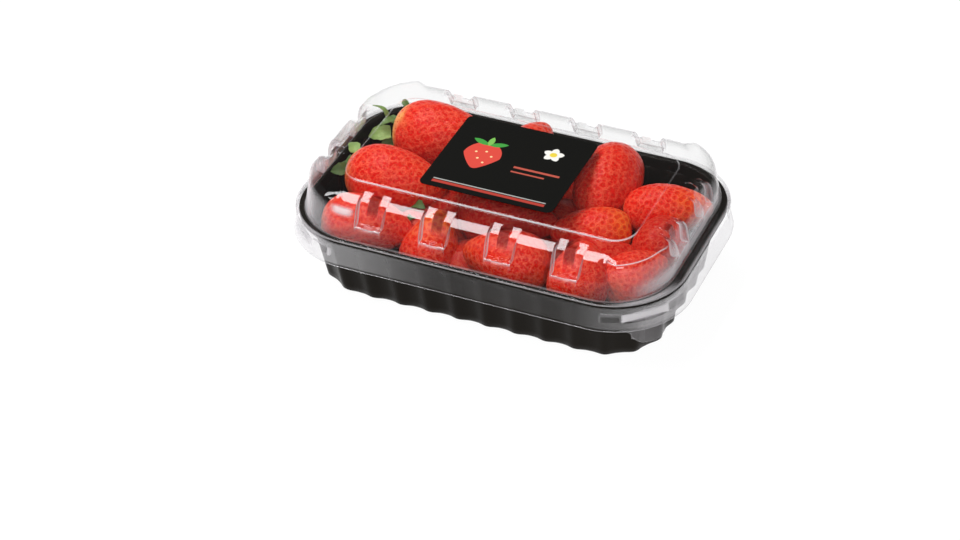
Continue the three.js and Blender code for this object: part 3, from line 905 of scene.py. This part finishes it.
def berry_skin(length, radius, fullness, drift):
    """Two helpers for one berry: a point of its uneven skin, and the way out of it there."""
    def skin_at(turn, share):
        bare = berry_point(length, radius, fullness, turn, share)
        bumpy = 1 + 0.05 * noise.noise(bare / 16 + drift) + 0.015 * noise.noise(bare / 5 + drift)
        return Vector((bare.x * bumpy, bare.y * bumpy, bare.z))

    def way_out(point):
        steep = Vector((point.x / radius ** 2, point.y / radius ** 2, point.z / (length / 2) ** 2))
        return steep.normalized()

    return skin_at, way_out


def seat_seeds(spots, skin_at, way_out, laid):
    """Notes where a berry's seeds go, and returns a tree that finds the nearest ones."""
    tree = kdtree.KDTree(len(spots))
    for index, (share, turn) in enumerate(spots):
        point = skin_at(turn, share)
        tree.insert(point, index)
        ahead = skin_at(turn, min(share + 0.02, 1)) - point
        out = way_out(point)
        turned = laid.to_3x3()
        seed_places.append((laid @ (point - out * SEED_SINK), turned @ out, turned @ ahead))
    tree.balance()
    return tree


# %% Shape one berry
def shape_berry(number, facts, segments, rings):
    """A ball moved out to a berry's skin, marked for its colours and laid in its place."""
    at, heading, lift, length, radius, fullness, pale, orange = facts
    bpy.ops.object.select_all(action="DESELECT")
    bpy.ops.mesh.primitive_uv_sphere_add(segments=segments, ring_count=rings, radius=1)
    berry = bpy.context.object
    laid = berry_frame(at, heading, lift)
    drift = Vector((number * 7.3, number * 3.1, 0))
    skin_at, way_out = berry_skin(length, radius, fullness, drift)
    tree = seat_seeds(seed_spots(length, radius, fullness), skin_at, way_out, laid)
    marks = {name: [] for name in ("from_seed", "pale", "orange", "tone", "deep_red_and_shade")}
    for corner in berry.data.vertices:
        share = math.acos(max(-1, min(1, -corner.co.z))) / math.pi
        point = skin_at(math.atan2(corner.co.y, corner.co.x), share)
        nearest, second = (found[2] for found in tree.find_n(point, 2))
        within_cell = min(2 * nearest / (nearest + second), nearest / DIMPLE_REACH)
        swell = math.sin(min(within_cell, 1) * math.pi / 2)
        ends = smooth_step(share / 0.1) * smooth_step((1 - share) / 0.03)
        corner.co = laid @ (point + way_out(point) * (swell - 1) * DIMPLE_DEPTH * ends) * MM
        wander = 0.12 * noise.noise(point / 6 + drift)
        from_far_end = share if orange > 0 else 1 - share
        marks["from_seed"].append(within_cell if share > 0.07 else 1.2)
        marks["pale"].append(max(pale, 0) * smooth_step((0.27 + wander - share) / 0.22))
        marks["orange"].append(abs(orange) * smooth_step((from_far_end + wander - 0.5) / 0.35))
        marks["tone"].append(0.5 + 0.5 * noise.noise(Vector((number * 1.7, 0, 0))) + 0.25 * wander)
        # Darker red all over, partly painted shade where the berry lies in shadow.
        marks["deep_red_and_shade"].append(max(-pale, 0) * (1 + wander))
    for name, values in marks.items():
        mark_points(berry, name, values)
    return berry


# %% Pile up the heap
FINE_BALL = (158, 126)  # segments and rings
COARSE_BALL = (72, 48)


def heap(name, fruit, ball, first):
    """Shapes the berries of one layer, whose numbers shift their noise, and joins them."""
    berries = [shape_berry(first + number, facts, *ball) for number, facts in enumerate(fruit)]
    joined = join_pieces(berries, name)
    bpy.ops.object.shade_smooth()
    return joined


upper_heaps = [
    heap("berries_back", BACK_FRUIT, FINE_BALL, 0),
    heap("berries_middle", MIDDLE_FRUIT, FINE_BALL, 10),
    heap("berries_front", FRONT_FRUIT, FINE_BALL, 20),
]
low_berries = heap("berries_below", LOW_FRUIT, COARSE_BALL, 30)
for berries in upper_heaps + [low_berries]:
    declare(berries, "strawberries")

# %% [markdown]
# ## The seeds
# Each seed is a small flat teardrop that points along the fruit. One is made
# from a coarse ball and copied to every dimple in code. The copies are one
# mesh, because thousands of objects would be slow and the export wants real
# faces.

# %% Scatter the seeds
SEED_HALF = (0.55, 0.3, 0.26)  # along the fruit, across and out
bpy.ops.object.select_all(action="DESELECT")
bpy.ops.mesh.primitive_ico_sphere_add(subdivisions=1, radius=1)
one_seed = bpy.context.object
seed_corners = []
for corner in one_seed.data.vertices:
    along, across, out = (corner.co[i] * SEED_HALF[i] for i in range(3))
    seed_corners.append(Vector((along, across * (1 - 0.35 * corner.co.x), out)))
seed_faces = [tuple(face.vertices) for face in one_seed.data.polygons]
bpy.data.objects.remove(one_seed)

corners, faces, shades = [], [], []
for place, out, ahead in seed_places:
    ahead = (ahead - out * ahead.dot(out)).normalized()
    axes = Matrix((ahead, out.cross(ahead), out)).transposed()
    size = 0.92 + 0.18 * noise.noise(place * 3.1)
    first = len(corners)
    corners += [(place + axes @ (corner * size)) * MM for corner in seed_corners]
    faces += [tuple(first + i for i in face) for face in seed_faces]
    shades += [0.5 + 0.5 * noise.noise(place * 1.9)] * len(seed_corners)
seed_mesh = bpy.data.meshes.new("seeds")
seed_mesh.from_pydata(corners, [], faces)
seeds = bpy.data.objects.new("berry_seeds", seed_mesh)
mark_points(seeds, "shade", shades)
scene.collection.objects.link(seeds)
bpy.ops.object.select_all(action="DESELECT")
seeds.select_set(True)
bpy.context.view_layer.objects.active = seeds
bpy.ops.object.shade_smooth()
declare(seeds, "strawberries")
print(len(seed_places), "seeds")

# %% [markdown]
# ## The leaves
# Green sepals ring the stalk ends of the two berries at the left, and two
# more show between the front ones. A sepal is a thin pointed leaf with a fold
# down its middle, and no two lie alike. One flat grid gives each leaf its
# points. It is drawn in to a tip, creased, curled by its own amounts and
# thickened.

# %% Grow the leaves
LEAF_COLUMNS, LEAF_ROWS = 14, 6
LEAF_THICKNESS = 0.3
LEAF_FACES = Vector((0.15, -0.45, 0.88))


def grow_leaf(root, tip, width, arch, roll, light):
    """A leaf from root to tip, arched up between them and rolled about its length."""
    root, tip = Vector(root), Vector(tip)
    along_leaf = (tip - root).normalized()
    rolled = Matrix.Rotation(math.radians(roll), 3, along_leaf) @ LEAF_FACES
    side = rolled.cross(along_leaf).normalized()
    face = along_leaf.cross(side)

    def leaf_point(column, row):
        along, across = column / LEAF_COLUMNS, 2 * row / LEAF_ROWS - 1
        half = width / 2 * math.sin(math.pi * (0.16 + 0.84 * along) ** 0.8) ** 0.8 if along < 1 else 0.05
        half *= 1 + 0.07 * math.sin(along * 19 + width) * abs(across)
        lift = arch * math.sin(math.pi * along) + 0.25 * abs(across) * half
        return root.lerp(tip, along) + side * (across * half) + face * lift

    leaf = shaped_grid("leaf", LEAF_COLUMNS, LEAF_ROWS, leaf_point)
    mark_points(leaf, "light", [light] * len(leaf.data.vertices))
    give_wall(leaf, LEAF_THICKNESS)
    return leaf


leaves = [grow_leaf(*facts) for facts in (
    # At the far berry's stalk: root, tip, width, arch, roll, painted light.
    ((-78, 34, 38), (-87, 36, 44), 2.6, 3.5, 30, 0.6),
    ((-72, 43, 43), (-76, 46, 43.5), 3, 1, -20, 0.2),
    ((-75, 34, 40), (-80, 28, 39), 3.5, 1.5, 10, 0.35),
    ((-75, 30, 35.5), (-86, 28, 31.5), 7.5, 2, -10, 1.0),
    ((-75, 38, 36), (-84, 41, 33), 5, 1.5, 20, 0.2),
    ((-74, 31, 31), (-79, 24, 26), 6, 1, 0, 0.2),
    # At the near one's.
    ((-79, 0, 42), (-84, 9, 41), 5.5, 1.5, 10, 0.9),
    ((-80, -6, 37), (-87, -10, 36), 6, 1.5, -15, 0.1),
    ((-80, -1, 37), (-86, 3, 32), 6, 2, 10, 0.1),
    # Between the front berries.
    ((-42, -15, 33), (-35, -19, 35), 5, 1, 0, 0.0),
    ((-40, -20, 30), (-40, -28, 33), 4, 1, 0, 0.0),
)]
sepals = join_pieces(leaves, "berry_leaves")
bpy.ops.object.shade_smooth_by_angle(angle=math.radians(50))
declare(sepals, "strawberries")

# %% [markdown]
# ## The core of the heap
# Nothing shows deeper than the second layer of fruit, so below it one dark
# bumpy block stands for the rest. It is a cube stretched to fit the tray,
# subdivided, drawn in at its corners, pushed about by a slow noise, and
# rounded by a Subdivision Surface modifier.

# %% Fill the bottom
CORE = (75, 42, 25)  # an outline, as above
CORE_HEIGHT, CORE_Z = 18, 11
straight_x, straight_y = CORE[0] - CORE[2], CORE[1] - CORE[2]
bpy.ops.object.select_all(action="DESELECT")
bpy.ops.mesh.primitive_cube_add(size=2, location=(0, 0, 0))
core = bpy.context.object
core.name = "berry_core"
for corner in core.data.vertices:
    x, y, z = corner.co
    corner.co = Vector((x * CORE[0], y * CORE[1], CORE_Z + z * CORE_HEIGHT / 2)) * MM
bpy.ops.object.mode_set(mode="EDIT")
bpy.ops.mesh.select_all(action="SELECT")
bpy.ops.mesh.subdivide(number_cuts=9)
bpy.ops.object.mode_set(mode="OBJECT")
for corner in core.data.vertices:
    x, y, z = corner.co / MM
    over_x, over_y = max(abs(x) - straight_x, 0), max(abs(y) - straight_y, 0)
    shrink = 1 / max(1, math.hypot(over_x, over_y) / CORE[2])
    if over_x:
        x = math.copysign(straight_x + over_x * shrink, x)
    if over_y:
        y = math.copysign(straight_y + over_y * shrink, y)
    if z > 15:
        z += 2.5 * noise.noise(Vector((x, y, 0)) / 14)
    corner.co = Vector((x, y, z)) * MM
rounding = core.modifiers.new("rounding", "SUBSURF")
rounding.levels = rounding.render_levels = 1
bpy.ops.object.modifier_apply(modifier=rounding.name)
bpy.ops.object.shade_smooth()
declare(core, "strawberries")

# %% [markdown]
# ## The label
# A label is film, printed and stuck on flat. It is cut from a square with
# bevelled corners and thickened. Its print is a few fields of colour, which
# a material can draw from distances on the piece, with no picture.

# %% Cut the label
LABEL_X, LABEL_Y, LABEL_TOP = -1.7, 0.8, 55.9
LABEL_LENGTH, LABEL_WIDTH, LABEL_FILM = 64, 57, 0.2
bpy.ops.object.select_all(action="DESELECT")
bpy.ops.mesh.primitive_plane_add(size=1)
label = bpy.context.object
label.name = "label_film"
for corner in label.data.vertices:
    x, y = corner.co.x * LABEL_LENGTH, corner.co.y * LABEL_WIDTH
    corner.co = Vector((LABEL_X + x, LABEL_Y + y, LABEL_TOP)) * MM
bpy.ops.object.mode_set(mode="EDIT")
bpy.ops.mesh.select_all(action="SELECT")
bpy.ops.mesh.bevel(offset=3 * MM, segments=8, affect="VERTICES")
bpy.ops.object.mode_set(mode="OBJECT")
give_wall(label, LABEL_FILM)
declare(label, "label")

# %% [markdown]
# ## The tray's black plastic
# Thermoformed black sheet is smooth and glossy, with faint draw marks up the
# wall. The colour is nearly black everywhere, so it is the gloss that shows
# the flutes. Two noises are enough: a slow one clouds colour and gloss, and
# a finer one lifts the surface by a few hundredths of a millimetre.

# %% Black plastic
paint = Recipe("black_sheet")
marks = paint.noise(180, 3)
cloud = paint.noise(25, 2)
tray.data.materials.append(paint.finish(paint.surface({
    "Base Color": paint.mix(cloud, (0.009, 0.0074, 0.0059), (0.014, 0.0117, 0.0092)),
    "Roughness": 0.2 + cloud * 0.1,
    "Specular IOR Level": 0.038,
    "Normal": paint.bump(marks, 0.00006),
})))

# %% [markdown]
# ## The lid's clear plastic
# Thin clear sheet hardly bends light, so what is behind it shows straight
# through. It mirrors a little from the front and much at a slant. Layer
# Weight's Facing gives that slant from both sides of the sheet, which the
# Fresnel node does not, and it blends a see-through shader with a mirror.
# The sheet's own numbers add painted light and shade: sheen adds painted
# reflection to the mirror, haze mixes in a milky white that paints highlights,
# and shade swaps the clear shader for a greyer one as painted shade.

# %% Clear plastic
paint = Recipe("clear_sheet")
facing = paint.node("ShaderNodeLayerWeight", None, {"Blend": 0.5}, output="Facing")
painted_sheen = paint.attribute("painted_sheen")
mirror = paint.surface({
    "Base Color": (0.98, 0.97, 0.99, 1),
    "Metallic": 0.95,
    "Roughness": 0.03,
})
milk = paint.surface({
    "Base Color": (0.86, 0.83, 0.86, 1),
    "Roughness": 0.9,
    "Specular IOR Level": 0.0,
})
# Painted shade: where shade is 1, a greyer see-through shader stands in for the clear one.
through = paint.node("ShaderNodeMixShader", None, {
    0: paint.attribute("shade"),
    1: paint.node("ShaderNodeBsdfTransparent", None, {"Color": (0.988, 0.988, 0.988, 1)}),
    2: paint.node("ShaderNodeBsdfTransparent", None, {"Color": (0.66, 0.62, 0.63, 1)}),
})
share = (facing ** 5) * 0.94 + painted_sheen
glossy = paint.node("ShaderNodeMixShader", None, {0: share, 1: through, 2: mirror})
# Haze mixes in the milky white of the painted highlights.
lid.data.materials.append(paint.finish(paint.node("ShaderNodeMixShader", None, {
    0: paint.attribute("painted_haze"), 1: glossy, 2: milk,
})))

# %% [markdown]
# ## The berries' skin
# Ripe skin is a deep warm red. Round each seed runs a painted highlight ring,
# broken into strokes, the seed sits in a pit darkened with painted shade, and the
# shoulders under the leaves may stay pale. The attributes made with the shape
# carry all of that, so rings and dimples cannot come apart. Berries that lie in
# shadow get a darker red, partly painted shade, and the layer below a dimmed
# copy of the skin.

# %% Berry skin
def skin_paint(name, painted_dimness):
    paint = Recipe(name)
    gap = paint.attribute("from_seed")
    tone = paint.attribute("tone")
    fine = paint.noise(1400, 3, 0.6)
    patches = paint.noise(90, 2)
    red = paint.mix(tone, (0.74, 0.006, 0.0025), (0.90, 0.018, 0.005))
    red = paint.mix(patches * 0.45, red, (0.58, 0.003, 0.003))
    # Painted highlights: a pale ring round each seed, broken into strokes, and thin curls stand in for
    # the glints on the ridges between the dimples.
    ring = (1 - abs(gap + (fine - 0.5) * 0.3 - 0.82) / 0.18).held()
    glint_strokes = (paint.noise(520, 2) * 5 - 1.9).held()
    glint_curls = (1 - abs(paint.noise(430, 1) - 0.5) * 13).held()
    red = paint.mix((ring * glint_strokes * 0.75).most(glint_curls * 0.42), red, (0.98, 0.17, 0.085))
    # Painted shade: the pit round each seed is darkened.
    pit_shade = (1 - gap / 0.55).held()
    red = paint.mix(pit_shade * 0.3, red, (0.52, 0.003, 0.003))
    # The painted highlight ring turns a paler orange where the skin is orange.
    orange = paint.mix(ring, (0.86, 0.07, 0.008), (0.98, 0.22, 0.04))
    red = paint.mix(paint.attribute("orange") * 0.8, red, orange)
    red = paint.mix(paint.attribute("pale").held(), red, (0.95, 0.48, 0.13))
    # Darker red, partly painted shade where the berry lies in shadow.
    red = paint.mix(paint.attribute("deep_red_and_shade"), red, (0.16, 0.002, 0.003))
    # Painted shade: the berries below get a copy of the skin dimmed towards black.
    red = paint.mix(painted_dimness, red, (0.02, 0.001, 0.001))
    return paint.finish(paint.surface({
        "Base Color": red,
        "Roughness": 0.24 + fine * 0.12,
        "IOR": 1.2,
        "Normal": paint.bump(fine, 0.0001),
    }))


ripe_skin = skin_paint("ripe_skin", 0.0)
for berries in upper_heaps:
    berries.data.materials.append(ripe_skin)
low_berries.data.materials.append(skin_paint("shaded_skin", 0.35))

# %% [markdown]
# ## Seeds, leaves and core
# The seeds are red-brown husks, hardly lighter than the pits they sit in. The
# leaves are matt with fine veins, and each leaf's own number paints it lit or
# in shade, between a lit green and a shaded one. The core's dark red is painted
# shade, and only has to be darker than the fruit above.

# %% Husks, green and shadow
paint = Recipe("seed_husk")
shade = paint.attribute("shade")
seeds.data.materials.append(paint.finish(paint.surface({
    "Base Color": paint.mix(shade, (0.56, 0.012, 0.004), (0.80, 0.07, 0.02)),
    "Roughness": 0.5,
    "IOR": 1.2,
})))

paint = Recipe("leaf_green")
veins = paint.noise(900, 3)
blotches = paint.noise(220, 2)
shaded_green = paint.mix(blotches, (0.03, 0.08, 0.015), (0.08, 0.155, 0.035))
lit_green = paint.mix(blotches, (0.16, 0.32, 0.06), (0.40, 0.54, 0.18))
sepals.data.materials.append(paint.finish(paint.surface({
    # Painted light and shade: each leaf's number mixes the shaded green with the lit one.
    "Base Color": paint.mix(paint.attribute("light"), shaded_green, lit_green),
    "Roughness": 0.5 + veins * 0.1,
    "Normal": paint.bump(veins, 0.0003),
})))

# Painted shade: the core is a dark red block standing for the fruit deep in the heap's shade.
paint = Recipe("heap_shadow")
blotches = paint.noise(120, 2)
core.data.materials.append(paint.finish(paint.surface({
    "Base Color": paint.mix(blotches, (0.015, 0.002, 0.002), (0.06, 0.004, 0.004)),
    "Roughness": 0.6,
})))

# %% [markdown]
# ## The label's print
# The ground is a satin black. On it stand a strawberry with pips and three
# leaves, a small white blossom and a few plain bars. Each is a distance from
# a centre or an edge, turned into a mask that is 1 inside the shape.
# Distances are in millimetres from the label's middle.

# %% Shapes to print with
paint = Recipe("label_print")
place = paint.node("ShaderNodeTexCoord", output="Object")
right = paint.node("ShaderNodeSeparateXYZ", None, {0: place}, output="X") * 1000 - LABEL_X
up = paint.node("ShaderNodeSeparateXYZ", None, {0: place}, output="Y") * 1000 - LABEL_Y


def inside(distance):
    """1 where a signed distance is below 0, with a soft edge."""
    return (0.5 - distance / 0.16).held()


def length_of(x, y):
    return (x * x + y * y) ** 0.5


def disc(x, y, radius):
    return inside(length_of(right - x, up - y) - radius)


def bar(x, y, half_x, half_y):
    return inside((abs(right - x) - half_x).most(abs(up - y) - half_y))


def almond(x, y, turn, length, width):
    """A leaf shape: where two discs meet."""
    a = math.radians(turn)
    across = (right - x) * -math.sin(a) + (up - y) * math.cos(a)
    along = (right - x) * math.cos(a) + (up - y) * math.sin(a) - length / 2
    radius = (length ** 2 + width ** 2) / (4 * width)
    shift = radius - width / 2
    return inside(length_of(along, abs(across) + shift) - radius)


# %% Print the label
fruit_x, fruit_y = right + 14, up - 1
widening = fruit_y.least(0.0) * 0.42 + 8.6
fruit = inside(length_of(fruit_x / widening * 8.6, fruit_y * 0.84) - 8.8)
PIP, GREEN = (0.95, 0.65, 0.35), (0.06, 0.33, 0.06)
PETAL, RED = (0.86, 0.85, 0.80), (0.50, 0.10, 0.07)
pips = ((-17.5, 3), (-13, 4.5), (-9.5, 1.5), (-15, -1.5), (-11.5, -4))
shapes = [(fruit, (0.68, 0.075, 0.055))]
shapes += [(disc(x, y, 0.6), PIP) for x, y in pips]
shapes += [(almond(-14, 9.5, turn, 9, 3.2), GREEN) for turn in (160, 20)]
shapes += [(almond(-14, 9.0, 90, 7, 2.8), (0.20, 0.50, 0.10))]
shapes += [(almond(16, 13, turn, 5, 3.6), PETAL) for turn in (90, 162, 234, 306, 18)]
shapes += [(disc(16, 13, 1.7), (0.80, 0.62, 0.06))]
shapes += [(bar(14, -2, 11, 0.7), RED), (bar(11, -5.5, 8, 0.5), RED)]
shapes += [(bar(0, -22.5, 27, 0.35), (0.42, 0.42, 0.40))]
shapes += [(bar(0, -24.3, 27, 0.9), (0.45, 0.055, 0.04))]
print(len(shapes), "shapes to print")
print_colour = (0.0078, 0.0078, 0.0070)
for mask, colour in shapes:
    print_colour = paint.mix(mask, print_colour, colour)
grain = paint.noise(700, 2)
label.data.materials.append(paint.finish(paint.surface({
    "Base Color": print_colour,
    "Roughness": 0.18 + grain * 0.06,
    "Specular IOR Level": 0.09,
    "Normal": paint.bump(grain, 0.00001),
})))

# %% [markdown]
# ## Measure
# The dressed model keeps the size of the solids it was made from.

# %% Print the sizes
dressed_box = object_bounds()
for name, box in (("solids", cad_box), ("dressed", dressed_box)):
    print(name, [[round(number / MM, 1) for number in corner] for corner in box])
